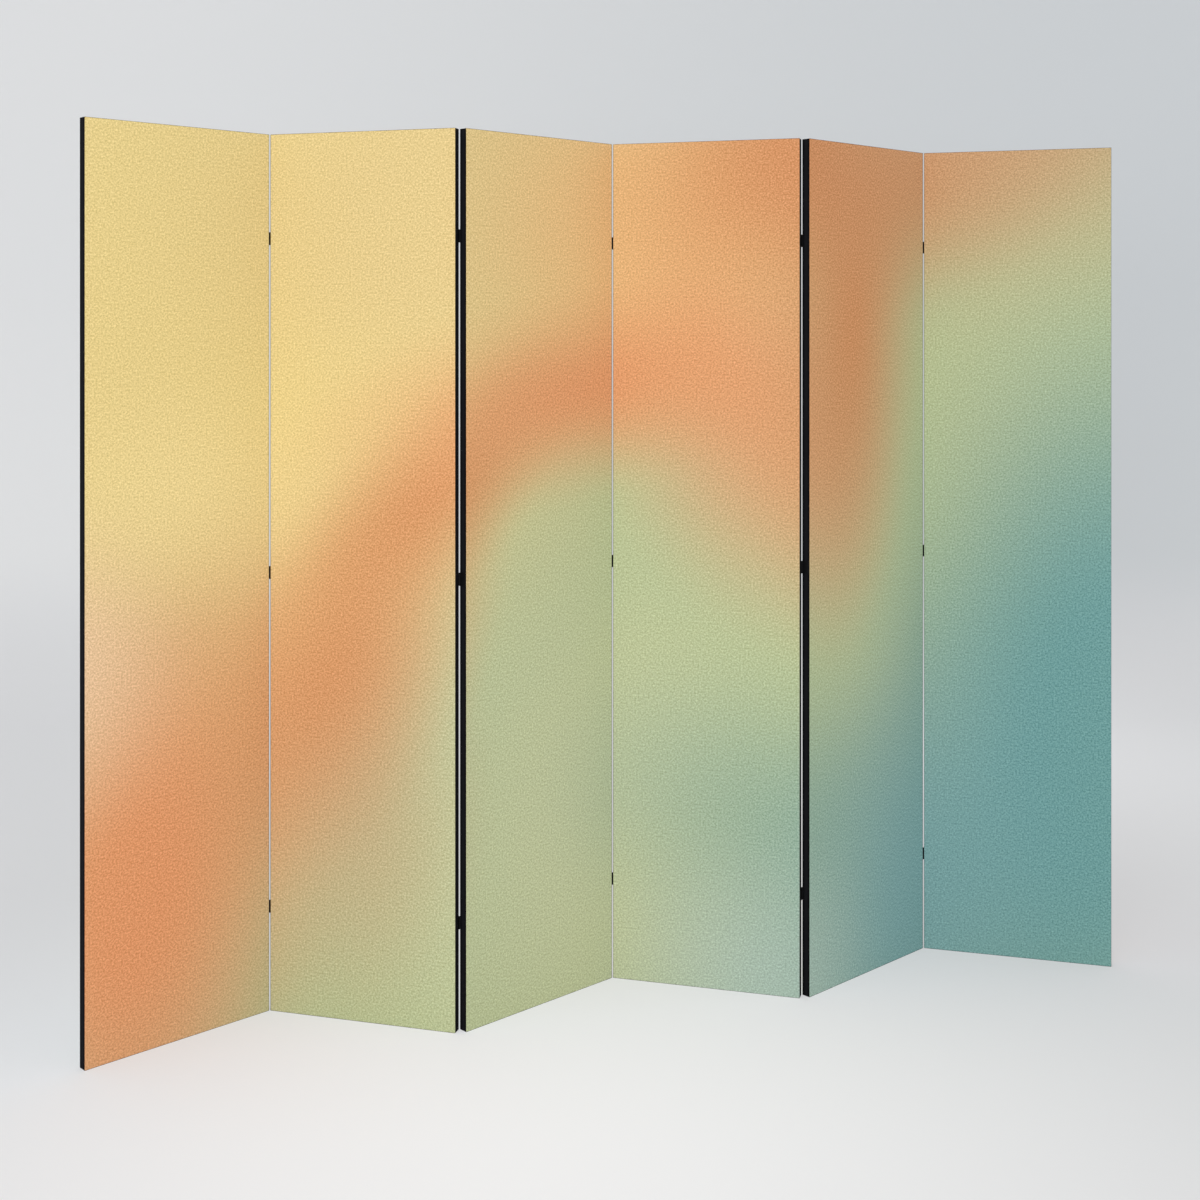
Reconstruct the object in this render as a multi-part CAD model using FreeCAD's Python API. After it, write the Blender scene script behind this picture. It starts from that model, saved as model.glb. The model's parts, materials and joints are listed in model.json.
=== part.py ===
import FreeCAD, Part
import os

# A folding room divider: six flat panels in a zigzag, joined by woven straps
# that let each corner fold. A panel is a pine stretcher frame with a printed
# canvas on each face and a black tape round its edge.
# Millimetres, +Z up. The row of panels runs along X, its front looks along -Y,
# and the origin is on the floor under the middle of the whole zigzag.

os.makedirs("parts", exist_ok=True)

# The panels and how they stand
panel_count = 6
panel_width = 400.0
panel_height = 1775.0
panel_thickness = 18.5
fold_angle = 60.0

# The skins: two canvases, and the tape that covers their turned edges
canvas_thickness = 0.5
tape_thickness = 0.3
seam_between_returns = 1.5

# The frame bars, with a bead at the rim that holds the canvas off the rest
stile_width = 30.0
rail_width = 30.0
bead_width = 8.0
bevel_drop = 1.5

# The two cross rails and their tenons
cross_rail_width = 25.0
cross_rail_drop = 2.5
cross_rail_height_shares = (0.31, 0.69)
tenon_length = 12.0
tenon_thickness = 6.0
tenon_shoulder = 4.0
mortise_spare_depth = 1.0

# The strap hinges, three to a corner
panel_gap = 2.4
axis_standoff = 0.6
strap_width = 26.0
strap_thickness = 1.2
strap_end_distance = 211.0
strap_tuck = 20.0
strap_side_clearance = 0.5
strap_free_clearance = 0.5

# The staples
wire_width = 1.2
wire_thickness = 0.6
strap_staple_crown = 12.0
strap_staple_leg = 8.0
corner_staple_crown = 10.0
corner_staple_leg = 25.0
corner_staple_inset_share = 0.4

# How far a cut runs past the face that it opens
overrun = 1.0

# What follows from the sizes above
skin = tape_thickness + canvas_thickness
wood_depth = panel_thickness - 2 * canvas_thickness
canvas_return = (wood_depth - seam_between_returns) / 2
tuck_end = -(skin + strap_tuck)
axis_reach = panel_gap / 2
up = FreeCAD.Vector(0, 0, 1)
across = FreeCAD.Vector(1, 0, 0)
through = FreeCAD.Vector(0, 1, 0)
mid_thickness = FreeCAD.Vector(0, panel_thickness / 2, 0)


def block(x_low, x_high, y_low, y_high, z_low, z_high):
    corner = FreeCAD.Vector(x_low, y_low, z_low)
    return Part.makeBox(x_high - x_low, y_high - y_low, z_high - z_low, corner)


def prism(points, direction):
    return Part.Face(Part.makePolygon(points + points[:1])).extrude(direction)


def closes_at_front(joint):
    """Joint 1 is between panels 1 and 2. Odd joints fold front to front."""
    return joint % 2 == 1


# A strap end is drawn once, at the right edge of a panel whose edge is at x = 0,
# under the face at y = 0 and centred on z = 0. This puts it where it belongs.
def at_edge(shape, side, face, height):
    if face == "back":
        shape = shape.mirror(mid_thickness, through)
    if side == "left":
        shape = shape.mirror(FreeCAD.Vector(), across)
    else:
        shape = shape.translated(FreeCAD.Vector(panel_width, 0, 0))
    return shape.translated(FreeCAD.Vector(0, 0, height))


def strap_tongue(outer_end):
    """The flat end that is tucked under the canvas, as far as outer_end."""
    return block(
        tuck_end,
        outer_end,
        canvas_thickness,
        canvas_thickness + strap_thickness,
        -strap_width / 2,
        strap_width / 2,
    )


def strap_room():
    """The pocket in the stile and the slit through the canvas and the tape."""
    half_width = strap_width / 2 + strap_side_clearance
    return block(
        tuck_end,
        overrun,
        canvas_thickness,
        canvas_thickness + strap_thickness,
        -half_width,
        half_width,
    )


def short_strap_end():
    """The end beside the corner that closes: a tongue that stops near the axis."""
    return strap_tongue(axis_reach - strap_free_clearance)


def long_strap_end():
    """The end that runs over the panel's edge to the axis, where it is round."""
    half = strap_thickness / 2
    base = -strap_width / 2
    bend = FreeCAD.Vector(0, canvas_thickness + strap_thickness, base)
    quarter = block(
        0, strap_thickness, canvas_thickness, bend.y, base, strap_width / 2
    )
    elbow = Part.makeCylinder(strap_thickness, strap_width, bend, up).common(quarter)
    run = block(
        0, strap_thickness, bend.y, panel_thickness - half, base, strap_width / 2
    )

    near = FreeCAD.Vector(half, panel_thickness - half, base)
    axis = FreeCAD.Vector(axis_reach, panel_thickness + axis_standoff, base)
    turn = axis.sub(near).normalize()
    beside = turn.cross(up).multiply(half)
    web = prism(
        [near.add(beside), axis.add(beside), axis.sub(beside), near.sub(beside)],
        FreeCAD.Vector(0, 0, strap_width),
    )
    heel = Part.makeCylinder(half, strap_width, near, up)
    nose = Part.makeCylinder(half, strap_width, axis, up)

    end = strap_tongue(0).fuse([elbow, run, web, heel, nose])
    return end.removeSplitter()


def staple(crown_middle, crown_way, leg_way, crown, leg):
    """A square-cornered staple whose crown lies on crown_middle."""
    outer = crown / 2
    inner = outer - wire_thickness
    outline = [
        (-outer, 0),
        (outer, 0),
        (outer, leg),
        (inner, leg),
        (inner, wire_thickness),
        (-inner, wire_thickness),
        (-inner, leg),
        (-outer, leg),
    ]
    flat_way = crown_way.cross(leg_way)
    start = crown_middle.sub(flat_way * (wire_width / 2))
    points = [start.add(crown_way * p).add(leg_way * q) for p, q in outline]
    return prism(points, flat_way * wire_width)


def strap_staple():
    middle = FreeCAD.Vector(-skin - strap_tuck / 2, canvas_thickness, 0)
    return staple(middle, up, through, strap_staple_crown, strap_staple_leg)


def edge_stations(side):
    """Height and face of each strap at a panel's edge: the middle one is reversed."""
    outer_face, middle_face = ("front", "back") if side == "right" else ("back", "front")
    return [
        (strap_end_distance, outer_face),
        (panel_height / 2, middle_face),
        (panel_height - strap_end_distance, outer_face),
    ]


def joined_edges(panel):
    """The edges of a panel that have a neighbour, each with its joint."""
    edges = []
    if panel > 1:
        edges.append(("left", panel - 1))
    if panel < panel_count:
        edges.append(("right", panel))
    return edges


def strap_rooms(panel):
    return [
        at_edge(strap_room(), side, face, height)
        for side, joint in joined_edges(panel)
        for height, face in edge_stations(side)
    ]


def strap_staples(panel):
    return [
        at_edge(strap_staple(), side, face, height)
        for side, joint in joined_edges(panel)
        for height, face in edge_stations(side)
    ]


def strap_ends(side, joint):
    closing_face = "front" if closes_at_front(joint) else "back"
    ends = []
    for height, face in edge_stations(side):
        end = short_strap_end() if face == closing_face else long_strap_end()
        ends.append(at_edge(end.cut(strap_staple()), side, face, height))
    return ends


def bar_section(width):
    """Half-outline of a stretcher bar from its rim inwards, with its bead and bevels."""
    return [
        (0, 0),
        (bead_width, 0),
        (width, bevel_drop),
        (width, wood_depth - bevel_drop),
        (bead_width, wood_depth),
        (0, wood_depth),
    ]


def left_stile_blank():
    base = FreeCAD.Vector(skin, canvas_thickness, skin)
    length = panel_height - 2 * skin
    points = [base + FreeCAD.Vector(p, q, 0) for p, q in bar_section(stile_width)]
    bar = prism(points, up * length)
    mitred = prism(
        [
            base,
            base + FreeCAD.Vector(stile_width, 0, rail_width),
            base + FreeCAD.Vector(stile_width, 0, length - rail_width),
            base + FreeCAD.Vector(0, 0, length),
        ],
        through * wood_depth,
    )
    return bar.common(mitred)


def bottom_rail_blank():
    base = FreeCAD.Vector(skin, canvas_thickness, skin)
    length = panel_width - 2 * skin
    points = [base + FreeCAD.Vector(0, q, p) for p, q in bar_section(rail_width)]
    bar = prism(points, across * length)
    mitred = prism(
        [
            base,
            base + FreeCAD.Vector(length, 0, 0),
            base + FreeCAD.Vector(length - stile_width, 0, rail_width),
            base + FreeCAD.Vector(stile_width, 0, rail_width),
        ],
        through * wood_depth,
    )
    return bar.common(mitred)


def cross_rail_heights():
    return [share * panel_height for share in cross_rail_height_shares]


def cross_rail(height):
    """A thinner rail between the stiles, with a stub tenon at each end."""
    inner_left = skin + stile_width
    inner_right = panel_width - inner_left
    half_width = cross_rail_width / 2
    body = block(
        inner_left,
        inner_right,
        canvas_thickness + cross_rail_drop,
        panel_thickness - canvas_thickness - cross_rail_drop,
        height - half_width,
        height + half_width,
    )
    half_tenon = half_width - tenon_shoulder
    tenons = block(
        inner_left - tenon_length,
        inner_right + tenon_length,
        (panel_thickness - tenon_thickness) / 2,
        (panel_thickness + tenon_thickness) / 2,
        height - half_tenon,
        height + half_tenon,
    )
    return body.fuse(tenons).removeSplitter()


def left_mortise(height):
    half_tenon = cross_rail_width / 2 - tenon_shoulder
    inner_left = skin + stile_width
    return block(
        inner_left - tenon_length - mortise_spare_depth,
        inner_left + overrun,
        (panel_thickness - tenon_thickness) / 2,
        (panel_thickness + tenon_thickness) / 2,
        height - half_tenon,
        height + half_tenon,
    )


def mirrored_across(shape):
    return shape.mirror(FreeCAD.Vector(panel_width / 2, 0, 0), across)


def mirrored_up(shape):
    return shape.mirror(FreeCAD.Vector(0, 0, panel_height / 2), up)


def corner_staples():
    """One at each mitre, driven through the rail into the stile."""
    inset = skin + stile_width * corner_staple_inset_share
    middle = FreeCAD.Vector(inset, panel_thickness / 2, skin)
    low_left = staple(middle, through, up, corner_staple_crown, corner_staple_leg)
    low_right = mirrored_across(low_left)
    return [low_left, low_right, mirrored_up(low_left), mirrored_up(low_right)]


def stiles(panel):
    blank = left_stile_blank().cut([left_mortise(h) for h in cross_rail_heights()])
    holes = strap_rooms(panel) + strap_staples(panel) + corner_staples()
    return blank.cut(holes), mirrored_across(blank).cut(holes)


def rails():
    bottom = bottom_rail_blank()
    outer = [rail.cut(corner_staples()) for rail in (bottom, mirrored_up(bottom))]
    return outer + [cross_rail(height) for height in cross_rail_heights()]


def canvas(panel, face):
    """A sheet over one face, turned over the rim on all four sides."""
    depth = canvas_thickness + canvas_return
    whole = block(
        tape_thickness,
        panel_width - tape_thickness,
        0,
        depth,
        tape_thickness,
        panel_height - tape_thickness,
    )
    hollow = block(
        skin,
        panel_width - skin,
        canvas_thickness,
        depth + overrun,
        skin,
        panel_height - skin,
    )
    tray = whole.cut(hollow)
    if face == "back":
        tray = tray.mirror(mid_thickness, through)
    return slit(tray, panel)


def edge_tape(panel):
    """The black tape round the edge."""
    whole = block(0, panel_width, 0, panel_thickness, 0, panel_height)
    hollow = block(
        tape_thickness,
        panel_width - tape_thickness,
        -overrun,
        panel_thickness + overrun,
        tape_thickness,
        panel_height - tape_thickness,
    )
    return slit(whole.cut(hollow), panel)


def slit(skin_piece, panel):
    """Opens a canvas or tape where the panel's straps come out."""
    return skin_piece.cut(strap_rooms(panel))


# The joint's axis stands off the faces that close, midway between the two edges.
# Each panel is turned about the axis that it shares with the one before.
def axis_on_panel(side, joint):
    x = panel_width + axis_reach if side == "right" else -axis_reach
    y = -axis_standoff if closes_at_front(joint) else panel_thickness + axis_standoff
    return FreeCAD.Vector(x, y, 0)


def chain():
    """Where each panel stands, with panel 1 at zero before the row is centred."""
    placements = []
    for panel in range(1, panel_count + 1):
        lean = fold_angle / 2 if panel % 2 == 1 else -fold_angle / 2
        turn = FreeCAD.Rotation(up, lean)
        origin = FreeCAD.Vector()
        if placements:
            shared = placements[-1].multVec(axis_on_panel("right", panel - 1))
            origin = shared.sub(turn.multVec(axis_on_panel("left", panel - 1)))
        placements.append(FreeCAD.Placement(origin, turn))
    return placements


def centred(placements):
    """Moves the row so that the middle of its footprint is at the origin."""
    footprint = [
        place.multVec(FreeCAD.Vector(x, y, 0))
        for place in placements
        for x in (0, panel_width)
        for y in (0, panel_thickness)
    ]
    box = Part.makeCompound([Part.Vertex(point) for point in footprint]).BoundBox
    middle = FreeCAD.Vector(box.Center.x, box.Center.y, 0)
    return [FreeCAD.Placement(place.Base.sub(middle), place.Rotation) for place in placements]


def panel_pieces(panel):
    """Every piece of one panel by name, drawn with its left front corner at zero."""
    left_stile, right_stile = stiles(panel)
    pieces = {
        "left_stile": [left_stile],
        "right_stile": [right_stile],
        "rails": rails(),
        "front_canvas": [canvas(panel, "front")],
        "back_canvas": [canvas(panel, "back")],
        "edge_tape": [edge_tape(panel)],
        "strap_staples": strap_staples(panel),
        "corner_staples": corner_staples(),
    }
    for side, joint in joined_edges(panel):
        pieces[side + "_straps"] = strap_ends(side, joint)
    return pieces


def write_step(node, solids, place):
    shape = Part.makeCompound(solids) if len(solids) > 1 else solids[0]
    shape = shape.transformed(place.toMatrix(), True)
    shape.exportStep(os.path.join("parts", node + ".step"))


def main():
    places = centred(chain())
    for panel, place in enumerate(places, start=1):
        for name, solids in panel_pieces(panel).items():
            write_step(f"panel_{panel}_{name}", solids, place)
    for joint in range(1, panel_count):
        axis = places[joint - 1].multVec(axis_on_panel("right", joint))
        print(f"joint {joint}: axis at x {axis.x:.3f}, y {axis.y:.3f}")


main()
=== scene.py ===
import json
import math

import bmesh
import bpy
from mathutils import Matrix, Vector


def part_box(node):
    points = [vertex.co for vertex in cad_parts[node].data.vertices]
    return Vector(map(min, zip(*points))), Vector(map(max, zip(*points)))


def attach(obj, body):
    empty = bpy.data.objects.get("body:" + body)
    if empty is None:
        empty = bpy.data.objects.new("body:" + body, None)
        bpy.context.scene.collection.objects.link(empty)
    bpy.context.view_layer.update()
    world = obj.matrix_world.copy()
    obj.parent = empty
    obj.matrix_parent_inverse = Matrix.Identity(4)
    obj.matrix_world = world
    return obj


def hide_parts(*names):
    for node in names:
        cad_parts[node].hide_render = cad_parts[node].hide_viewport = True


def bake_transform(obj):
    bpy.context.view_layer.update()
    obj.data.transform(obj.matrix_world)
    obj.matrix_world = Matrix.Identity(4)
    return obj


bl_info = {
    "name": "Canvas Folding Screen",
    "version": (1, 0, 0),
    "blender": (4, 5, 0),
    "location": "3D View > Sidebar > Screen",
    "description": "Dresses a folding screen with canvases, edge tapes, straps and a studio",
    "category": "Object",
}

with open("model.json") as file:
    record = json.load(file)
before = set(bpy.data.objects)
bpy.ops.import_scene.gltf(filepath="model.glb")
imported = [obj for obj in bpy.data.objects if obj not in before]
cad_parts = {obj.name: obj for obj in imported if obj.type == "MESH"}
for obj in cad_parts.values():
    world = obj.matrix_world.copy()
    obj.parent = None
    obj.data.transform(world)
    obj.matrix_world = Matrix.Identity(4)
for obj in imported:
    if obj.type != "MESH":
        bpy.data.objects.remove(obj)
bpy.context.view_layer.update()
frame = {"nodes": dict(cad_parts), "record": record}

MM = 0.001
overrun = 1 * MM  # how far a cut runs past the face that it opens
nearby = 0.1 * MM  # a point this close to a place counts as being there
straight = 0.999  # a way with this share of its length along an axis counts as straight
crease_angle = math.radians(40)  # faces that meet at a sharper turn keep a hard edge

record = frame["record"]
mounts = {mount["name"]: mount for mount in record["mounts"]}
joints = {joint["name"]: joint for joint in record["behaviour"]["joints"]}
panel_count = len(record["behaviour"]["bodies"])
panels = range(1, panel_count + 1)
faces = ("front", "back")


# Where each panel stands

def middle_of(node):
    low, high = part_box(node)
    return (low + high) / 2


def panel_angle(panel):
    """The panel's turn about Z, told by the way from its front canvas to its back one."""
    way = middle_of(f"panel_{panel}_back_canvas") - middle_of(f"panel_{panel}_front_canvas")
    return math.atan2(-way.x, way.y)


def placement(panel):
    """From a panel's own frame, with its foot's middle at zero, to the row frame."""
    foot = Vector(mounts[f"panel_{panel}_foot"]["pos_m"])
    return Matrix.Translation(foot) @ Matrix.Rotation(panel_angle(panel), 4, "Z")


def panel_size():
    """Width, thickness and height of a panel, worked out from its turned box."""
    low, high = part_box("panel_1_edge_tape")
    size = high - low
    cosine, sine = math.cos(panel_angle(1)), math.sin(panel_angle(1))
    spread = cosine * cosine - sine * sine
    width = (size.x * cosine - size.y * sine) / spread
    thickness = (size.y * cosine - size.x * sine) / spread
    return width, thickness, size.z


panel_width, panel_thickness, panel_height = panel_size()


def strap_heights():
    """The middles of the three straps of a corner, from the staples that hold them."""
    half_crown = 6 * MM
    low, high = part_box("panel_1_strap_staples")
    return low.z + half_crown, (low.z + high.z) / 2, high.z - half_crown


# Sizes and colours that a user would change

def length(name, description, default):
    return bpy.props.FloatProperty(
        name=name, description=description, default=default, unit="LENGTH", precision=5
    )


def swatch(name, description, hex_colour):
    return bpy.props.StringProperty(name=name, description=description, default=hex_colour)


class ScreenSizes(bpy.types.PropertyGroup):
    canvas_thickness: length("Canvas", "Thickness of the printed canvas", 0.5 * MM)
    canvas_return: length("Return", "Canvas turned over the rim, measured from the face", 8.5 * MM)
    canvas_dish: length("Dish", "How far the canvas draws in at the middle of a panel", 0.5 * MM)
    rim_radius: length("Rim", "Rounding of the canvas where it turns the rim", 0.7 * MM)
    bead_width: length("Bead", "Width of the flat bead that carries the canvas", 8 * MM)
    tape_thickness: length("Tape", "Thickness of the edge tape", 0.3 * MM)
    tape_corner: length("Corner", "Rounding of the tape at a panel's four corners", 1.2 * MM)
    strap_width: length("Strap width", "Width of a woven strap", 26 * MM)
    strap_thickness: length("Strap thickness", "Thickness of a woven strap", 1.2 * MM)
    strap_tuck: length("Strap tuck", "Length of strap tucked under the canvas", 20 * MM)


class ScreenColours(bpy.types.PropertyGroup):
    tape: swatch("Tape", "Black of the edge tape", "#121215")
    # The paler black also stands for painted light along the tape's middle, set against painted
    # shade at its edges.
    tape_worn_and_lit: swatch("Worn tape", "Black of the edge tape where it is rubbed", "#202023")
    webbing: swatch("Webbing", "Black of the straps", "#0C0C0E")
    pine: swatch("Pine", "Light wood between the growth rings", "#DDBB8C")
    pine_ring: swatch("Growth ring", "Darker wood of the growth rings", "#BF8E5A")
    steel: swatch("Steel", "Galvanised wire of the staples", "#B4B6B8")
    floor: swatch("Floor", "Studio floor", "#EAECF0")
    wall_left: swatch("Wall, left", "Studio wall at the left", "#F3F4F5")
    # The darker grey of the wall at the right is painted shade.
    wall_right_painted_shade: swatch("Wall, right", "Studio wall at the right", "#E0E4E7")
    distance: swatch("Distance", "What is seen past the edges of the studio floor", "#D4D5D8")


class ScreenInks(bpy.types.PropertyGroup):
    sage: swatch("Sage", "Grey green that lies under the whole print", "#B9C397")
    pale_sage: swatch("Pale sage", "Light warm green, low in the middle", "#CCCEA6")
    sand: swatch("Sand", "Warm yellow of the upper left", "#E6CF8C")
    straw: swatch("Straw", "Duller yellow beside the sand", "#DFC68A")
    cream: swatch("Cream", "Pale yellow at the left", "#F2DC9C")
    blush: swatch("Blush", "Pale pink at the left edge", "#F0CBA6")
    apricot: swatch("Apricot", "Soft orange that leads into the warm band", "#E8BC82")
    terracotta: swatch("Terracotta", "Bright orange of the warm band", "#E29A69")
    copper: swatch("Copper", "Deep orange of the warm band", "#D48E5C")
    tan: swatch("Tan", "Brown where the warm band ends, upper right", "#C9A077")
    clay: swatch("Clay", "Brown between the orange and the sage", "#C4AE84")
    teal: swatch("Teal", "Blue green of the lower right", "#70A09E")
    sea: swatch("Sea", "Light blue beside the teal", "#7CA8AE")
    mist: swatch("Mist", "Pale blue at the foot", "#A8C2C6")


def sizes():
    return bpy.context.scene.screen_sizes


def colours():
    return bpy.context.scene.screen_colours


def inks():
    return bpy.context.scene.screen_inks


# Modelling by hand, step by step

def lay_down():
    """Leaves edit mode and deselects everything."""
    if bpy.context.mode != "OBJECT":
        bpy.ops.object.mode_set(mode="OBJECT")
    bpy.ops.object.select_all(action="DESELECT")


def take(obj):
    """Makes one object the active one and the only one selected."""
    lay_down()
    obj.select_set(True)
    bpy.context.view_layer.objects.active = obj


def cube(name, low, high):
    """A box between two corners, ready to be shaped."""
    lay_down()
    low, high = Vector(low), Vector(high)
    bpy.ops.mesh.primitive_cube_add(size=1, location=(low + high) / 2, scale=high - low)
    bpy.ops.object.transform_apply(location=True, rotation=True, scale=True)
    obj = bpy.context.active_object
    obj.name = name
    obj.data.name = name
    return obj


def pick(obj, kind, test):
    """Goes into edit mode with only the elements selected that pass the test."""
    take(obj)
    bpy.ops.object.mode_set(mode="EDIT")
    bpy.ops.mesh.select_mode(type=kind)
    bpy.ops.mesh.select_all(action="DESELECT")
    mesh = bmesh.from_edit_mesh(obj.data)
    elements = {"VERT": mesh.verts, "EDGE": mesh.edges, "FACE": mesh.faces}[kind]
    for element in elements:
        if test(element):
            element.select_set(True)
    bmesh.update_edit_mesh(obj.data)


def along(edge, axis):
    """True if an edge runs along X, Y or Z, given as 0, 1 or 2."""
    way = edge.verts[1].co - edge.verts[0].co
    return abs(way[axis]) > straight * way.length


def modify(obj, kind, **settings):
    """Adds a modifier with its settings and applies it."""
    take(obj)
    modifier = obj.modifiers.new(kind.title(), kind)
    for name, value in settings.items():
        setattr(modifier, name, value)
    bpy.ops.object.modifier_apply(modifier=modifier.name)


def cut_out(obj, cutter):
    """Takes the space of another object out of this one."""
    modify(obj, "BOOLEAN", operation="DIFFERENCE", object=cutter, solver="EXACT")


def smooth(obj):
    take(obj)
    bpy.ops.object.shade_smooth_by_angle(angle=crease_angle)


def copy_placed(obj, name, matrix):
    """A copy with its own mesh, put in place through its mesh."""
    copy = obj.copy()
    copy.data = obj.data.copy()
    copy.name = name
    copy.data.name = name
    bpy.context.collection.objects.link(copy)
    copy.data.transform(matrix)
    return copy


def own_map(obj, name):
    """Gives a piece one new UV map in place of what its primitive came with."""
    layers = obj.data.uv_layers
    while layers:
        layers.remove(layers[0])
    return layers.new(name=name)


def discard(*objects):
    for obj in objects:
        bpy.data.objects.remove(obj, do_unlink=True)


def dress(obj, material):
    """Gives a finished piece its material and its slot, once it is sure to be whole."""
    if not obj.data.polygons:
        raise RuntimeError(f"{obj.name} came out empty")
    obj.data.materials.clear()
    obj.data.materials.append(material)


# Materials

def linear(hex_colour):
    """Turns an sRGB hex colour into the linear values that a shader takes."""
    shades = [int(hex_colour[i : i + 2], 16) / 255 for i in (1, 3, 5)]
    lights = [s / 12.92 if s <= 0.04045 else ((s + 0.055) / 1.055) ** 2.4 for s in shades]
    return (*lights, 1.0)


def add(material, kind, settings=None, **inputs):
    """Adds one node. An input is a value, or a node's output to link from."""
    tree = material.node_tree
    node = tree.nodes.new("ShaderNode" + kind)
    for name, value in (settings or {}).items():
        setattr(node, name, value)
    for name, value in inputs.items():
        key = int(name[1:]) if name[1:].isdigit() else name.replace("_", " ")
        socket = node.inputs[key]
        if isinstance(value, bpy.types.NodeSocket):
            tree.links.new(value, socket)
        else:
            socket.default_value = value
    return node


def new_material(name):
    material = bpy.data.materials.new(name)
    material.use_nodes = True
    material.node_tree.nodes.clear()
    return material


def finish_material(material, **inputs):
    shader = add(material, "BsdfPrincipled", **inputs)
    add(material, "OutputMaterial", Surface=shader.outputs["BSDF"])
    return material


# The print: soft patches of ink laid over one another on sage, on the row rolled out
# flat. Each has its ink, its middle in metres from the row's lower left, its half length
# and half width, its turn in degrees, the share of it that is solid before it fades, and
# its strength.
print_patches = (
    ("sand", 0.2, 1.5, 1.7, 1.1, 20, 0.3, 1.0),
    ("straw", 0.9, 1.6, 0.9, 0.5, 0, 0.3, 0.9),
    ("apricot", 1.3, 1.6, 0.6, 0.5, 0, 0.2, 0.8),
    ("pale_sage", 1.1, 0.3, 0.6, 1.0, 5, 0.0, 0.7),
    ("apricot", 0.4, 0.7, 0.9, 0.4, 55, 0.0, 0.7),
    ("clay", 0.6, 0.4, 0.5, 0.3, 80, 0.0, 0.8),
    ("terracotta", 0.1, 0.3, 0.85, 0.5, 80, 0.1, 1.0),
    ("copper", 0.55, 0.7, 0.6, 0.3, 60, 0.0, 0.8),
    ("copper", 0.75, 1.05, 0.5, 0.2, 40, 0.0, 0.8),
    ("terracotta", 1.1, 1.25, 0.7, 0.25, 10, 0.0, 0.9),
    ("terracotta", 1.5, 1.2, 0.6, 0.4, -60, 0.0, 0.8),
    ("copper", 1.75, 1.4, 0.8, 0.3, 85, 0.0, 0.9),
    ("copper", 1.8, 1.8, 0.8, 0.45, 15, 0.2, 1.0),
    ("tan", 2.2, 1.9, 0.9, 0.6, 15, 0.0, 0.8),
    ("teal", 2.4, 0.5, 1.2, 0.7, 80, 0.2, 1.0),
    ("teal", 2.3, 0.1, 0.9, 0.5, 30, 0.3, 0.5),
    ("teal", 1.6, 0.35, 0.7, 0.4, -10, 0.0, 0.5),
    ("sea", 1.9, 0.1, 0.5, 0.9, -10, 0.0, 0.7),
    ("mist", 1.5, 0.0, 0.4, 0.4, 0, 0.0, 0.5),
    ("blush", -0.1, 0.75, 0.4, 0.4, 0, 0.0, 0.8),
    ("cream", 0.2, 1.05, 0.4, 0.3, 0, 0.0, 0.5),
)


def wave_scale(pitch):
    """The scale of a wave texture whose bands are one pitch apart, in metres."""
    phase_rate = 20  # radians that the texture's wave gains over a metre, at scale 1
    return 2 * math.pi / (phase_rate * pitch)


def noise_scale(grain):
    """The scale of a noise texture whose blotches are one grain apart, in metres."""
    return 1 / grain


def woven(material, spot, pitch_x, pitch_y):
    """Height of a plain weave, where rounded threads of both ways cross."""
    threads = [
        add(
            material,
            "TexWave",
            {"bands_direction": axis},
            Vector=spot,
            Scale=wave_scale(pitch),
        )
        for axis, pitch in (("X", pitch_x), ("Y", pitch_y))
    ]
    warp, weft = (thread.outputs["Fac"] for thread in threads)
    crossing = add(material, "Math", {"operation": "MULTIPLY"}, _0=warp, _1=weft)
    return crossing.outputs["Value"]


def soft_patch(material, spot, under, patch):
    """Lays one soft patch of ink over the colour under it."""
    ink, x, y, half_length, half_width, turn, core, strength = patch
    placed = add(
        material,
        "Mapping",
        {"vector_type": "TEXTURE"},
        Vector=spot,
        Location=(x, y, 0),
        Rotation=(0, 0, math.radians(turn)),
        Scale=(half_length, half_width, 1),
    )
    radius = add(material, "VectorMath", {"operation": "LENGTH"}, _0=placed.outputs["Vector"])
    fade = add(
        material,
        "MapRange",
        {"interpolation_type": "SMOOTHSTEP"},
        Value=radius.outputs["Value"],
        From_Min=core,
        From_Max=1.0,
        To_Min=strength,
        To_Max=0.0,
    )
    mix = add(
        material,
        "Mix",
        {"data_type": "RGBA"},
        _0=fade.outputs["Result"],
        _6=under,
        _7=linear(getattr(inks(), ink)),
    )
    return mix.outputs[2]


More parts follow.
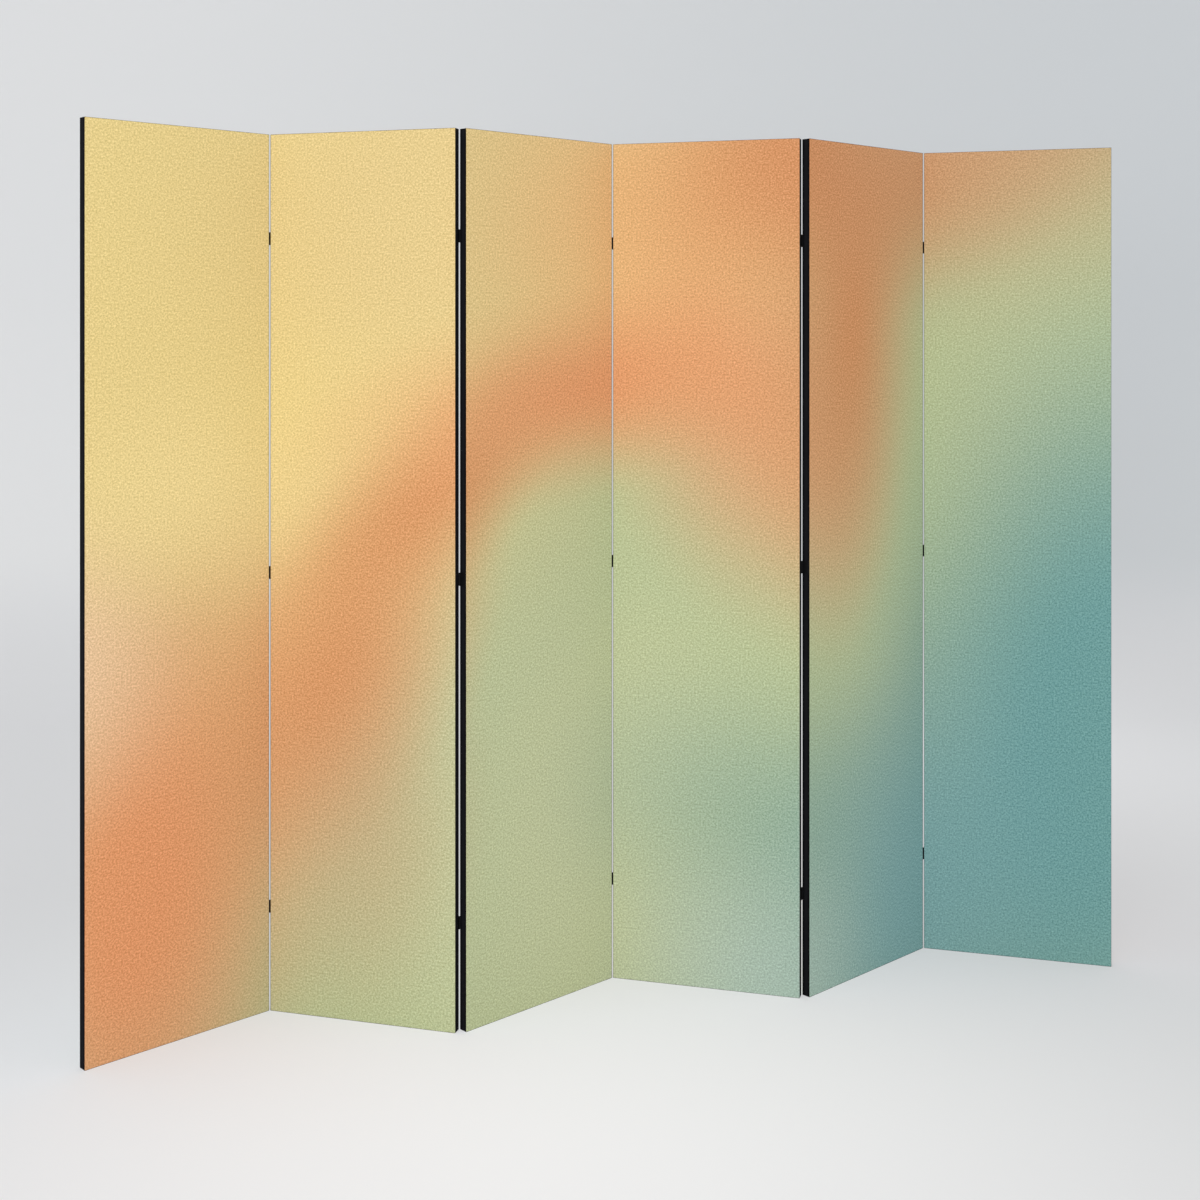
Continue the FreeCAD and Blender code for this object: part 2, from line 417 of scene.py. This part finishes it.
# Woven polyester canvas with a water-based inkjet print. It gives the eye soft colour
# with no gloss at all, under a fine speckle that is as strong in the dark inks as in the
# pale ones, so it is laid on the colour as it is shown and not on the light it returns.
# The threads, 1.0 and 0.9 mm apart, only show near by. The speckle of a real print is
# finer, and is drawn as coarse as the photograph shows it.
def printed_canvas():
    material = new_material("printed polyester canvas")
    uv = add(material, "UVMap", {"uv_map": "print"})
    row = (panel_count * panel_width, panel_height, 1)
    spot = add(material, "Mapping", Vector=uv.outputs["UV"], Scale=row).outputs["Vector"]
    picture = linear(inks().sage)
    for patch in print_patches:
        picture = soft_patch(material, spot, picture, patch)
    speckle = add(
        material,
        "TexNoise",
        Vector=spot,
        Scale=noise_scale(3.7 * MM),
        Detail=3.0,
        Roughness=0.7,
    )
    display_gamma = 2.2
    speckle_share = 0.27
    shown = add(material, "Gamma", Color=picture, Gamma=1 / display_gamma)
    speckled = add(
        material,
        "Mix",
        {"data_type": "RGBA", "blend_type": "LINEAR_LIGHT"},
        _0=speckle_share,
        _6=shown.outputs["Color"],
        _7=speckle.outputs["Fac"],
    )
    print_colour = add(
        material, "Gamma", Color=speckled.outputs[2], Gamma=display_gamma
    )
    weave = woven(material, spot, 1.0 * MM, 0.9 * MM)
    bump = add(material, "Bump", Height=weave, Strength=0.6, Distance=0.12 * MM)
    return finish_material(
        material,
        Base_Color=print_colour.outputs["Color"],
        Roughness=0.88,
        Specular_IOR_Level=0.25,
        Normal=bump.outputs["Normal"],
    )


# Black cotton twill tape. It gives the eye a deep, dull black line with no gloss, with slanting
# ribs 0.9 mm apart. It is painted paler along its middle and darker towards the canvases, which is
# painted shade where it meets them, and handling has left it paler in patches.
def edge_tape_cloth():
    material = new_material("black cotton twill tape")
    spot = add(material, "TexCoord").outputs["Object"]
    band = add(material, "UVMap", {"uv_map": "band"}).outputs["UV"]
    rib_angle = math.radians(45)
    slant = add(material, "Mapping", Vector=band, Rotation=(0, 0, rib_angle))
    ribs = add(
        material,
        "TexWave",
        {"bands_direction": "X"},
        Vector=slant.outputs["Vector"],
        Scale=wave_scale(0.9 * MM),
    )
    across = add(material, "SeparateXYZ", Vector=band)
    off_middle = add(material, "Math", {"operation": "ABSOLUTE"}, _0=across.outputs["Y"])
    blotches = add(material, "TexNoise", Vector=spot, Scale=noise_scale(17 * MM), Detail=3.0)
    patchy = add(
        material, "MapRange", Value=blotches.outputs["Fac"], To_Min=0.6, To_Max=1.4
    )
    # Painted shade and painted light: the tape turns darker towards both faces, where it meets the
    # canvases, and paler along its middle. The noise patches on top stand for wear.
    painted_lit_and_rubbed = add(
        material,
        "MapRange",
        {"interpolation_type": "SMOOTHSTEP"},
        Value=off_middle.outputs["Value"],
        From_Max=panel_thickness / 2,
        To_Min=1.0,
        To_Max=0.0,
    )
    painted_light_and_wear = add(
        material,
        "Math",
        {"operation": "MULTIPLY"},
        _0=painted_lit_and_rubbed.outputs["Result"],
        _1=patchy.outputs["Result"],
    )
    cotton = add(
        material,
        "Mix",
        {"data_type": "RGBA"},
        _0=painted_light_and_wear.outputs["Value"],
        _6=linear(colours().tape),
        _7=linear(colours().tape_worn_and_lit),
    )
    bump = add(
        material, "Bump", Height=ribs.outputs["Fac"], Strength=0.4, Distance=0.06 * MM
    )
    return finish_material(
        material,
        Base_Color=cotton.outputs[2],
        Roughness=0.85,
        Specular_IOR_Level=0.01,
        Normal=bump.outputs["Normal"],
    )


# Black polypropylene webbing, woven flat. It gives the eye thick crosswise ribs, 1.5 mm
# apart, bound by finer lengthwise ends, with a faint sheen that breaks up on the fibres.
def strap_webbing():
    material = new_material("black polypropylene webbing")
    spot = add(material, "UVMap", {"uv_map": "run"}).outputs["UV"]
    weave = woven(material, spot, 1.5 * MM, 1.1 * MM)
    fibres = add(material, "TexNoise", Vector=spot, Scale=noise_scale(1.1 * MM), Detail=2.0)
    sheen = add(
        material, "MapRange", Value=fibres.outputs["Fac"], To_Min=0.5, To_Max=0.75
    )
    bump = add(material, "Bump", Height=weave, Strength=0.8, Distance=0.25 * MM)
    return finish_material(
        material,
        Base_Color=linear(colours().webbing),
        Roughness=sheen.outputs["Result"],
        Specular_IOR_Level=0.15,
        Normal=bump.outputs["Normal"],
    )


# Planed pine, left raw. It gives the eye pale wood with darker growth rings about 14 mm
# apart, drawn out along the bar: up a stile, or along a rail that is turned about Z.
def planed_pine(name, turn, upright):
    material = new_material(name)
    spot = add(material, "TexCoord").outputs["Object"]
    drawn_out = 16
    grain = (1, 1, drawn_out) if upright else (drawn_out, 1, 1)
    laid = add(
        material,
        "Mapping",
        {"vector_type": "TEXTURE"},
        Vector=spot,
        Rotation=(0, 0, turn),
        Scale=grain,
    )
    rings = add(
        material,
        "TexWave",
        {"wave_type": "RINGS", "rings_direction": "Z" if upright else "X"},
        Vector=laid.outputs["Vector"],
        Scale=wave_scale(14 * MM),
        Distortion=2.2,
        Detail=3.0,
        Detail_Scale=1.4,
    )
    wood = add(
        material,
        "Mix",
        {"data_type": "RGBA"},
        _0=rings.outputs["Fac"],
        _6=linear(colours().pine),
        _7=linear(colours().pine_ring),
    )
    bump = add(material, "Bump", Height=rings.outputs["Fac"], Strength=0.2, Distance=0.1 * MM)
    return finish_material(
        material, Base_Color=wood.outputs[2], Roughness=0.6, Normal=bump.outputs["Normal"]
    )


# Galvanised steel wire, drawn and bent into staples. It gives the eye a grey, half dull
# metal whose zinc is clouded at about 0.8 mm.
def staple_steel():
    material = new_material("galvanised steel wire")
    spot = add(material, "TexCoord").outputs["Object"]
    zinc = add(material, "TexNoise", Vector=spot, Scale=noise_scale(0.83 * MM), Detail=2.0)
    rough = add(
        material, "MapRange", Value=zinc.outputs["Fac"], To_Min=0.25, To_Max=0.5
    )
    return finish_material(
        material,
        Base_Color=linear(colours().steel),
        Metallic=1.0,
        Roughness=rough.outputs["Result"],
    )


def painted_light_pool(material, spot, centre, radius, gain):
    """A round patch of painted light, brightest at its centre and fading to nothing."""
    away = add(material, "VectorMath", {"operation": "DISTANCE"}, _0=spot, _1=centre)
    fade = add(
        material,
        "MapRange",
        {"interpolation_type": "SMOOTHSTEP"},
        Value=away.outputs["Value"],
        From_Max=radius,
        To_Min=gain,
        To_Max=0.0,
    )
    return fade.outputs["Result"]


def backdrop_ray(material):
    """1 for rays that show the backdrop: seen directly, in a reflection or through glass."""
    path = add(material, "LightPath").outputs
    mirrored = add(
        material,
        "Math",
        {"operation": "ADD"},
        _0=path["Is Glossy Ray"],
        _1=path["Is Transmission Ray"],
    )
    seen = add(
        material,
        "Math",
        {"operation": "ADD", "use_clamp": True},
        _0=path["Is Camera Ray"],
        _1=mirrored.outputs["Value"],
    )
    return seen.outputs["Value"]


# Matt emulsion paint. It gives the eye a pale floor that turns into a grey wall with no line
# between them. The wall is painted darker to the right, which is painted shade, and the floor
# carries two round patches of painted light.
def studio_paint():
    material = new_material("matt emulsion paint")
    spot = add(material, "TexCoord").outputs["Object"]
    place = add(material, "SeparateXYZ", Vector=spot)
    # Painted shade: the wall turns darker from left to right.
    side = add(
        material,
        "MapRange",
        {"interpolation_type": "SMOOTHSTEP"},
        Value=place.outputs["X"],
        From_Min=-2.0,
        From_Max=3.5,
    )
    wall = add(
        material,
        "Mix",
        {"data_type": "RGBA"},
        _0=side.outputs["Result"],
        _6=linear(colours().wall_left),
        _7=linear(colours().wall_right_painted_shade),
    )
    rise = add(
        material,
        "MapRange",
        {"interpolation_type": "SMOOTHSTEP"},
        Value=place.outputs["Z"],
        From_Min=0.0,
        From_Max=0.5,
    )
    paint = add(
        material,
        "Mix",
        {"data_type": "RGBA"},
        _0=rise.outputs["Result"],
        _6=linear(colours().floor),
        _7=wall.outputs[2],
    )
    matt = add(
        material,
        "BsdfPrincipled",
        Base_Color=paint.outputs[2],
        Roughness=0.95,
        Specular_IOR_Level=0.1,
    )
    # The floor is shown retouched to a pale tone. Half of what is seen of the floor here is such a
    # tone, which lights nothing, with two round patches of painted light on it: one in front of
    # the screen and one behind it to the right.
    plain_tone, plain_share = 0.66, 0.5
    front = painted_light_pool(material, spot, centre=(-0.3, -0.5, 0), radius=1.8, gain=0.38)
    behind = painted_light_pool(material, spot, centre=(1.7, 1.6, 0), radius=1.5, gain=0.18)
    both = add(material, "Math", {"operation": "ADD"}, _0=front, _1=behind)
    tone = add(
        material, "Math", {"operation": "ADD"}, _0=both.outputs["Value"], _1=plain_tone
    )
    plain = add(material, "Emission", Strength=tone.outputs["Value"])
    share = add(
        material, "MapRange", Value=rise.outputs["Result"], To_Min=plain_share, To_Max=0.0
    )
    shown = add(
        material,
        "Math",
        {"operation": "MULTIPLY"},
        _0=share.outputs["Result"],
        _1=backdrop_ray(material),
    )
    surface = add(
        material,
        "MixShader",
        _0=shown.outputs["Value"],
        _1=matt.outputs["BSDF"],
        _2=plain.outputs["Emission"],
    )
    add(material, "OutputMaterial", Surface=surface.outputs["Shader"])
    return material


# Strap places, shared by the straps and the slits that they pass through

def strap_stations(side):
    """Height and face of each strap end at a panel's edge: the middle one is reversed."""
    low, middle, high = strap_heights()
    outer, inner = faces if side == "right" else faces[::-1]
    return ((low, outer), (middle, inner), (high, outer))


def joined_sides(panel):
    sides = []
    if panel > 1:
        sides.append("left")
    if panel < panel_count:
        sides.append("right")
    return sides


def edge_point(side, face, out, depth, height=0.0):
    """A point in a panel's frame: out from its edge, and in from one of its faces."""
    x = panel_width / 2 + out
    y = depth - panel_thickness / 2
    return Vector((x if side == "right" else -x, y if face == "front" else -y, height))


def slit_cutter(panel):
    """One object of small boxes where the panel's straps come out."""
    size = sizes()
    side_air = 0.5 * MM
    half_width = size.strap_width / 2 + side_air
    inside = -(size.tape_thickness + size.canvas_thickness + overrun)
    boxes = []
    for side in joined_sides(panel):
        for height, face in strap_stations(side):
            near = edge_point(side, face, inside, size.canvas_thickness, height - half_width)
            far_depth = size.canvas_thickness + size.strap_thickness
            far = edge_point(side, face, overrun, far_depth, height + half_width)
            low = Vector(map(min, near, far))
            high = Vector(map(max, near, far))
            boxes.append(cube("slit", low, high))
    lay_down()
    for box in boxes:
        box.select_set(True)
    bpy.context.view_layer.objects.active = boxes[0]
    bpy.ops.object.join()
    cutter = bpy.context.active_object
    cutter.data.transform(placement(panel))
    return cutter


# The canvases

def canvas_blank():
    """One canvas in a panel's frame, stretched over the front and turned over the rim."""
    size = sizes()
    half_width = panel_width / 2 - size.tape_thickness
    front = -panel_thickness / 2
    canvas = cube(
        "canvas blank",
        (-half_width, front, size.tape_thickness),
        (half_width, front + size.canvas_return, panel_height - size.tape_thickness),
    )
    pick(canvas, "FACE", lambda face: face.normal.y > straight)
    bpy.ops.mesh.delete(type="ONLY_FACE")
    pick(canvas, "EDGE", lambda edge: along(edge, 1))
    corner = size.tape_corner - size.tape_thickness
    bpy.ops.mesh.bevel(offset=corner, segments=3, affect="EDGES")
    pick(canvas, "EDGE", lambda edge: all(v.co.y < front + nearby for v in edge.verts))
    bpy.ops.mesh.bevel(offset=size.rim_radius, segments=4, affect="EDGES")
    bpy.ops.object.mode_set(mode="OBJECT")
    return canvas


def cut_lines(canvas, axis, places):
    """Cuts the canvas's flat face across X or Z at each place."""
    for place in places:
        point, normal = Vector(), Vector()
        point[axis], normal[axis] = place, 1
        pick(canvas, "FACE", lambda face: face.normal.y < -straight)
        bpy.ops.mesh.bisect(plane_co=point, plane_no=normal)
    bpy.ops.object.mode_set(mode="OBJECT")


def grid_lines(low, high, count):
    """Cut places over a side of the face: two lines by each rim, then even steps."""
    size = sizes()
    rim = size.rim_radius + 2 * size.tape_thickness
    inner_low, inner_high = low + size.bead_width, high - size.bead_width
    step = (inner_high - inner_low) / count
    return [low + rim, *(inner_low + step * i for i in range(count + 1)), high - rim]


def stretch_canvas(canvas):
    """Cross cuts the face and draws its middle in a little, as tight cloth does."""
    size = sizes()
    columns, rows = 10, 36
    cut_lines(canvas, 0, grid_lines(-panel_width / 2, panel_width / 2, columns))
    cut_lines(canvas, 2, grid_lines(0, panel_height, rows))
    reach = panel_width / 2 - size.bead_width
    end = reach / 2
    pick(
        canvas,
        "VERT",
        lambda v: abs(v.co.x) < nearby and end < v.co.z < panel_height - end and v.co.y < 0,
    )
    bpy.ops.transform.translate(
        value=(0, size.canvas_dish, 0),
        use_proportional_edit=True,
        proportional_edit_falloff="SMOOTH",
        proportional_size=reach,
    )
    bpy.ops.object.mode_set(mode="OBJECT")


def lay_print(canvas, panel, face):
    """Unrolls the whole row of panels into the print's square: X along it, Y up it."""
    place = panel - 1 if face == "front" else panel_count - panel
    layer = own_map(canvas, "print")
    for loop in canvas.data.loops:
        point = canvas.data.vertices[loop.vertex_index].co
        across = (place + 0.5 + point.x / panel_width) / panel_count
        layer.data[loop.index].uv = (across, point.z / panel_height)


class SCREEN_OT_canvases(bpy.types.Operator):
    """Stretches a printed canvas over the front and the back of each panel"""

    bl_idname = "screen.canvases"
    bl_label = "Canvases"

    def execute(self, context):
        size = sizes()
        blank = canvas_blank()
        stretch_canvas(blank)
        material = printed_canvas()
        turned = Matrix.Rotation(math.pi, 4, "Z")
        for panel in panels:
            cutter = slit_cutter(panel)
            for face in faces:
                name = f"canvas_{face}_{panel}"
                canvas = copy_placed(blank, name, Matrix())
                lay_print(canvas, panel, face)
                modify(canvas, "SOLIDIFY", thickness=size.canvas_thickness, offset=-1)
                canvas.data.transform(turned if face == "back" else Matrix())
                canvas.data.transform(placement(panel))
                cut_out(canvas, cutter)
                smooth(canvas)
                dress(canvas, material)
                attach(canvas, f"panel_{panel}")
                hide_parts(f"panel_{panel}_{face}_canvas")
            discard(cutter)
        discard(blank)
        return {"FINISHED"}


# The edge tapes

def tape_blank():
    """One ring of tape in a panel's frame, with a butt seam in the middle of its foot."""
    size = sizes()
    half_width, half_thickness = panel_width / 2, panel_thickness / 2
    tape = cube(
        "tape blank",
        (-half_width, -half_thickness, 0),
        (half_width, half_thickness, panel_height),
    )
    pick(tape, "FACE", lambda face: abs(face.normal.y) > straight)
    bpy.ops.mesh.delete(type="ONLY_FACE")
    pick(tape, "EDGE", lambda edge: along(edge, 1))
    bpy.ops.mesh.bevel(offset=size.tape_corner, segments=4, affect="EDGES")
    bpy.ops.object.mode_set(mode="OBJECT")
    modify(tape, "SOLIDIFY", thickness=size.tape_thickness, offset=-1)
    half_seam = 0.2 * MM
    cutter = cube(
        "seam",
        (-half_seam, -panel_thickness, -overrun),
        (half_seam, panel_thickness, overrun),
    )
    cut_out(tape, cutter)
    discard(cutter)
    lay_band(tape)
    return tape


def lay_band(tape):
    """Metres along the tape in X, and out from the panel's middle plane in Y."""
    layer = own_map(tape, "band")
    for loop in tape.data.loops:
        point = tape.data.vertices[loop.vertex_index].co
        layer.data[loop.index].uv = (point.x + point.z, point.y)


class SCREEN_OT_edge_tapes(bpy.types.Operator):
    """Runs a black tape round the edge of each panel"""

    bl_idname = "screen.edge_tapes"
    bl_label = "Edge tapes"

    def execute(self, context):
        blank = tape_blank()
        material = edge_tape_cloth()
        for panel in panels:
            tape = copy_placed(blank, f"edge_tape_{panel}", placement(panel))
            cutter = slit_cutter(panel)
            cut_out(tape, cutter)
            discard(cutter)
            smooth(tape)
            dress(tape, material)
            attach(tape, f"panel_{panel}")
            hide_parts(f"panel_{panel}_edge_tape")
        discard(blank)
        return {"FINISHED"}


# The straps

def closing_face(joint):
    """Odd corners close front to front, even ones back to back."""
    return "front" if joint % 2 == 1 else "back"


def strap_path(joint, left_face):
    """The strap's middle line at rest, from under one canvas to under the other."""
    size = sizes()
    tape_air, end_air, past_edge = 0.03 * MM, 0.5 * MM, 0.2 * MM
    near = size.canvas_thickness + size.strap_thickness / 2
    beside = size.strap_thickness / 2 + tape_air
    tuck = -(size.tape_thickness + size.canvas_thickness + size.strap_tuck - end_air)
    closing = closing_face(joint)
    far = "back" if closing == "front" else "front"
    left = (joint, "right")
    right = (joint + 1, "left")
    short, long = (left, right) if left_face == closing else (right, left)

    def point(end, face, out, depth):
        panel, side = end
        return placement(panel) @ edge_point(side, face, out, depth)

    return [
        point(short, closing, tuck, near),
        point(short, closing, past_edge, near),
        point(long, closing, beside, near),
        point(long, far, beside, near),
        point(long, far, tuck, near),
    ]


def strap_blank(path):
    """A ribbon drawn along the path by extrusion, thickened, with soft edges."""
    size = sizes()
    bend_radius, edge_radius = 0.45 * MM, 0.3 * MM
    first, second = path[:2]
    way = second - first
    lay_down()
    bpy.ops.mesh.primitive_plane_add(
        size=1,
        location=(first + second) / 2,
        rotation=(math.pi / 2, 0, math.atan2(way.y, way.x)),
    )
    ribbon = bpy.context.active_object
    ribbon.name = "strap blank"
    ribbon.scale = (way.length, size.strap_width, 1)
    bpy.ops.object.transform_apply(location=True, rotation=True, scale=True)
    for start, end in zip(path[1:], path[2:]):
        pick(
            ribbon,
            "EDGE",
            lambda edge: all(level_gap(v.co, start) < nearby for v in edge.verts),
        )
        bpy.ops.mesh.extrude_region_move(TRANSFORM_OT_translate={"value": end - start})
    pick(ribbon, "EDGE", lambda edge: along(edge, 2) and len(edge.link_faces) == 2)
    bpy.ops.mesh.bevel(offset=bend_radius, segments=3, affect="EDGES")
    bpy.ops.object.mode_set(mode="OBJECT")
    modify(ribbon, "SOLIDIFY", thickness=size.strap_thickness, offset=0)
    modify(ribbon, "BEVEL", width=edge_radius, segments=2, limit_method="ANGLE")
    lay_run(ribbon, path)
    smooth(ribbon)
    return ribbon


def lay_run(ribbon, path):
    """Metres along the strap in X and up it in Y, for its weave."""
    layer = own_map(ribbon, "run")
    for loop in ribbon.data.loops:
        point = ribbon.data.vertices[loop.vertex_index].co
        layer.data[loop.index].uv = (run_length(point, path), point.z)


def run_length(point, path):
    """How far along the path a point lies, by the stretch that it is nearest to."""
    start_of_stretch = 0.0
    found = []
    for start, end in zip(path, path[1:]):
        way = end - start
        level = Vector((point.x - start.x, point.y - start.y, 0))
        share = min(max(level.dot(way) / way.length_squared, 0), 1)
        found.append(((level - way * share).length, start_of_stretch + share * way.length))
        start_of_stretch += way.length
    return min(found)[1]


def level_gap(point, other):
    """The distance between two points seen from above."""
    return math.hypot(point.x - other.x, point.y - other.y)


class SCREEN_OT_straps(bpy.types.Operator):
    """Lays three woven straps through the gap of each corner"""

    bl_idname = "screen.straps"
    bl_label = "Straps"

    def execute(self, context):
        material = strap_webbing()
        blanks = {}
        for joint in range(1, panel_count):
            left, right = f"panel_{joint}", f"panel_{joint + 1}"
            axis = Vector(joints[f"fold_{joint}{joint + 1}"]["pos_m"])
            for level, (height, left_face) in zip(
                ("lower", "middle", "upper"), strap_stations("right")
            ):
                kind = (closing_face(joint), left_face)
                if kind not in blanks:
                    path = [point - axis for point in strap_path(joint, left_face)]
                    blanks[kind] = strap_blank(path)
                ribbon = copy_placed(
                    blanks[kind],
                    f"strap_{joint}{joint + 1}_{level}",
                    Matrix.Translation(axis + Vector((0, 0, height))),
                )
                dress(ribbon, material)
                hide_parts(f"{left}_right_straps", f"{right}_left_straps")
                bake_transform(ribbon)
        discard(*blanks.values())
        return {"FINISHED"}


# The frames inside and the staples keep their exact shape and only get their finish

class SCREEN_OT_frames(bpy.types.Operator):
    """Finishes the pine frames and the steel staples inside the panels"""

    bl_idname = "screen.frames"
    bl_label = "Frames and staples"

    def execute(self, context):
        stile_pine = planed_pine("planed pine, stile", 0, upright=True)
        steel = staple_steel()
        rail_pine = {}
        for panel in panels:
            turn = round(panel_angle(panel), 3)
            if turn not in rail_pine:
                rail_pine[turn] = planed_pine("planed pine, rail", turn, upright=False)
            finish = {
                "left_stile": stile_pine,
                "right_stile": stile_pine,
                "rails": rail_pine[turn],
                "strap_staples": steel,
                "corner_staples": steel,
            }
            for part, material in finish.items():
                node = frame["nodes"][f"panel_{panel}_{part}"]
                for slot in node.material_slots:
                    slot.material = material
        return {"FINISHED"}


# The stage

# The camera stands 1.37 m above the floor and is turned to the right. The photograph's
# horizon lies above its middle.
camera_place = (-0.8788, -3.3470, 1.3676)
camera_turn = math.radians(13.906)
photo_side = 1200
horizon_row = 335.58


def cyclorama():
    """A floor that runs up into a wall through a wide curve, facing the camera."""
    half_side, wall, height = 9, 4, 7
    bend, bend_steps = 1.6, 24
    near_corner = 0.1
    lay_down()
    bpy.ops.mesh.primitive_plane_add(size=1)
    stage = bpy.context.active_object
    stage.name = "studio_floor"
    stage.scale = (2 * half_side, half_side + wall, 1)
    stage.location = (0, (wall - half_side) / 2, 0)
    bpy.ops.object.transform_apply(location=True, rotation=True, scale=True)
    pick(stage, "EDGE", lambda edge: all(v.co.y > wall - near_corner for v in edge.verts))
    bpy.ops.mesh.extrude_region_move(TRANSFORM_OT_translate={"value": (0, 0, height)})
    corner = Vector((0, wall, 0))
    pick(
        stage,
        "EDGE",
        lambda edge: all((v.co - corner).yz.length < near_corner for v in edge.verts),
    )
    bpy.ops.mesh.bevel(offset=bend, segments=bend_steps, affect="EDGES")
    bpy.ops.object.mode_set(mode="OBJECT")
    stage.data.transform(Matrix.Rotation(-camera_turn, 4, "Z"))
    smooth(stage)
    return stage


def surroundings():
    """An even grey all round, which lights the screen softly."""
    level = 0.76
    world = bpy.data.worlds.new("studio")
    bpy.context.scene.world = world
    world.use_nodes = True
    world.node_tree.nodes.clear()
    seen = add(
        world,
        "Mix",
        {"data_type": "RGBA"},
        _0=backdrop_ray(world),
        _6=(level, level, level, 1),
        _7=linear(colours().distance),
    )
    sky = add(world, "Background", Color=seen.outputs[2])
    add(world, "OutputWorld", Surface=sky.outputs["Background"])


def key_lamp():
    """A large soft lamp in front, to the left, aimed at the screen."""
    place, target = Vector((-2.2, -4.6, 2.0)), Vector((0, 0, 0.7))
    width, height, watts = 3.0, 2.0, 86
    bpy.ops.object.light_add(type="AREA", location=place)
    lamp = bpy.context.active_object
    lamp.name = "key"
    lamp.data.shape = "RECTANGLE"
    lamp.data.size = width
    lamp.data.size_y = height
    lamp.data.energy = watts
    lamp.rotation_euler = (target - place).to_track_quat("-Z", "Y").to_euler()


def photo_camera():
    """The photograph's camera: level, with its lens shifted down."""
    bpy.ops.object.camera_add(
        location=camera_place, rotation=(math.pi / 2, 0, -camera_turn)
    )
    camera = bpy.context.active_object
    camera.name = "camera"
    camera.data.lens = 50
    camera.data.sensor_width = 36
    camera.data.shift_y = (horizon_row - photo_side / 2) / photo_side
    bpy.context.scene.camera = camera


class SCREEN_OT_studio(bpy.types.Operator):
    """Sets up the floor and wall, the soft light and the camera"""

    bl_idname = "screen.studio"
    bl_label = "Studio"

    def execute(self, context):
        stage = cyclorama()
        stage.data.materials.append(studio_paint())
        surroundings()
        key_lamp()
        photo_camera()
        context.scene.view_settings.view_transform = "Standard"
        return {"FINISHED"}


class SCREEN_PT_sidebar(bpy.types.Panel):
    """Lists the screen's pieces in the order that they are made"""

    bl_idname = "SCREEN_PT_sidebar"
    bl_label = "Folding screen"
    bl_space_type = "VIEW_3D"
    bl_region_type = "UI"
    bl_category = "Screen"

    def draw(self, context):
        for operator in steps:
            self.layout.operator(operator.bl_idname)
        for group in (sizes(), colours(), inks()):
            for name in group.__annotations__:
                self.layout.prop(group, name)


steps = (
    SCREEN_OT_canvases,
    SCREEN_OT_edge_tapes,
    SCREEN_OT_straps,
    SCREEN_OT_frames,
    SCREEN_OT_studio,
)
classes = (ScreenSizes, ScreenColours, ScreenInks, *steps, SCREEN_PT_sidebar)


def register():
    for each in classes:
        bpy.utils.register_class(each)
    bpy.types.Scene.screen_sizes = bpy.props.PointerProperty(type=ScreenSizes)
    bpy.types.Scene.screen_colours = bpy.props.PointerProperty(type=ScreenColours)
    bpy.types.Scene.screen_inks = bpy.props.PointerProperty(type=ScreenInks)


def unregister():
    del bpy.types.Scene.screen_inks
    del bpy.types.Scene.screen_colours
    del bpy.types.Scene.screen_sizes
    for each in reversed(classes):
        bpy.utils.unregister_class(each)


def main():
    """Makes every piece in order."""
    register()
    bpy.ops.screen.canvases()
    bpy.ops.screen.edge_tapes()
    bpy.ops.screen.straps()
    bpy.ops.screen.frames()
    bpy.ops.screen.studio()


if __name__ == "__main__":
    main()
